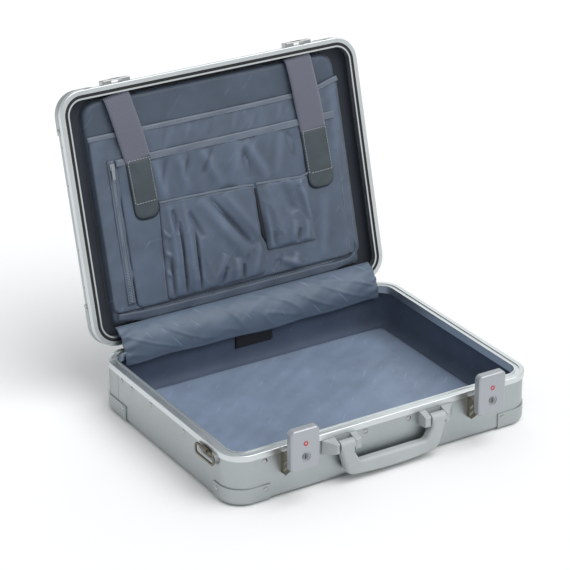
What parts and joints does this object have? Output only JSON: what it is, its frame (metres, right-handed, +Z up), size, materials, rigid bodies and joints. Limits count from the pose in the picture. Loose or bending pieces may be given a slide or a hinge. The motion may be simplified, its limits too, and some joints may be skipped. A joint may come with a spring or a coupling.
{
  "type": "attache_case",
  "caption": "Aluminium attache case standing open, with carry handle, draw latches, strap rings, cloth lining and a lid organizer with pockets and straps",
  "frame": {"origin": "centre of the closed case in plan, on the plane its base stands on (the undersides of the corner caps)", "axes": "+Z up, +X to the right seen from the front, the front with handle and latches faces -Y, the hinge is at +Y; the lid is stored open as in the picture"},
  "size_m": [0.4722, 0.4893, 0.4116],
  "materials": {
    "shell_aluminium": "satin anodised sheet",
    "frame_aluminium": "satin extruded frame",
    "cap_aluminium": "satin pressed cap",
    "bright_steel": "bright zinc plated",
    "dark_zinc_steel": "dark olive zinc plated",
    "hardware_nickel": "satin nickel",
    "red_enamel": "gloss enamel",
    "handle_grey": "satin moulded",
    "antique_metal": "antique nickel",
    "black_rubber": "matt extruded seal",
    "lining_cloth": "woven polyester",
    "floor_cloth": "woven polyester over foam",
    "organizer_cloth": "woven polyester",
    "curtain_cloth": "woven polyester",
    "black_label": "woven label",
    "grey_leather": "smooth leather",
    "webbing": "twill webbing",
    "zip_metal": "nickel zip slider",
    "zip_tape": "coil zip tape"
  },
  "bodies": {
    "base": {"base_bottom_panel": "shell_aluminium", "base_corner_cap_back_left": "cap_aluminium", "base_corner_cap_back_right": "cap_aluminium", "base_corner_cap_front_left": "cap_aluminium", "base_corner_cap_front_right": "cap_aluminium", "base_floor_pad": "floor_cloth", "base_lining": "lining_cloth", "base_rim_frame": "frame_aluminium", "base_rivets": "bright_steel", "base_side_band": "shell_aluminium", "handle_bracket_left": "handle_grey", "handle_bracket_right": "handle_grey", "handle_pins": "bright_steel", "hinge_curtain": "curtain_cloth", "hinge_leaf_base": "bright_steel", "hinge_pin": "bright_steel", "hinge_rivets_base": "bright_steel", "latch_bracket_left": "dark_zinc_steel", "latch_bracket_right": "dark_zinc_steel", "latch_bracket_screws": "bright_steel", "maker_label": "black_label", "side_anchor_left": "antique_metal", "side_anchor_right": "antique_metal"},
    "lid": {"document_pocket": "organizer_cloth", "file_pocket": "organizer_cloth", "hinge_leaf_lid": "bright_steel", "hinge_rivets_lid": "bright_steel", "lid_corner_cap_back_left": "cap_aluminium", "lid_corner_cap_back_right": "cap_aluminium", "lid_corner_cap_front_left": "cap_aluminium", "lid_corner_cap_front_right": "cap_aluminium", "lid_gasket": "black_rubber", "lid_lining": "lining_cloth", "lid_panel": "shell_aluminium", "lid_rim_frame": "frame_aluminium", "lid_rivets": "bright_steel", "lid_side_band": "shell_aluminium", "lid_strike_left": "hardware_nickel", "lid_strike_right": "hardware_nickel", "organizer_hem": "organizer_cloth", "organizer_panel": "organizer_cloth", "pocket_narrow": "organizer_cloth", "pocket_wide": "organizer_cloth", "strap_end_left": "grey_leather", "strap_end_right": "grey_leather", "strap_left": "webbing", "strap_right": "webbing", "zipper_tape": "zip_tape"},
    "handle": {"handle": "handle_grey"},
    "zip_slider": {"zipper_slider": "zip_metal"},
    "latch_left": {"latch_cover_left": "hardware_nickel", "latch_hook_left": "dark_zinc_steel", "lock_emblem_left": "red_enamel"},
    "lock_left": {"lock_cylinder_left": "hardware_nickel"},
    "ring_left": {"side_ring_left": "antique_metal"},
    "latch_right": {"latch_cover_right": "hardware_nickel", "latch_hook_right": "dark_zinc_steel", "lock_emblem_right": "red_enamel"},
    "lock_right": {"lock_cylinder_right": "hardware_nickel"},
    "ring_right": {"side_ring_right": "antique_metal"}
  },
  "joints": [
    {"name": "lid_hinge", "type": "hinge", "parent": "base", "child": "lid", "pos_m": [0, 0.1751, 0.07125], "axis": [1, 0, 0], "range_deg": [0, 105], "deforming": ["hinge_curtain"]},
    {"name": "handle_swing", "type": "hinge", "parent": "base", "child": "handle", "pos_m": [0, -0.182, 0.0535], "axis": [-1, 0, 0], "range_deg": [0, 95]},
    {"name": "latch_left_close", "type": "slide", "parent": "base", "child": "latch_left", "axis": [0, 0.6247, -0.7809], "range_m": [0, 0.01281]},
    {"name": "lock_left_turn", "type": "hinge", "parent": "latch_left", "child": "lock_left", "pos_m": [-0.141, -0.195, 0.0663], "axis": [0, 1, 0], "range_deg": [0, 90]},
    {"name": "latch_right_close", "type": "slide", "parent": "base", "child": "latch_right", "axis": [0, 0.6247, -0.7809], "range_m": [0, 0.01281]},
    {"name": "lock_right_turn", "type": "hinge", "parent": "latch_right", "child": "lock_right", "pos_m": [0.141, -0.195, 0.0663], "axis": [0, 1, 0], "range_deg": [0, 90]},
    {"name": "ring_left_swing", "type": "hinge", "parent": "base", "child": "ring_left", "pos_m": [-0.2331, -0.1125, 0.062], "axis": [0, 1, 0], "range_deg": [-8, 170]},
    {"name": "ring_right_swing", "type": "hinge", "parent": "base", "child": "ring_right", "pos_m": [0.2331, -0.1125, 0.062], "axis": [0, -1, 0], "range_deg": [-8, 170]},
    {"name": "zip_slide", "type": "slide", "parent": "lid", "child": "zip_slider", "axis": [0, -0.2588, -0.9659], "range_m": [0, 0.178]}
  ]
}
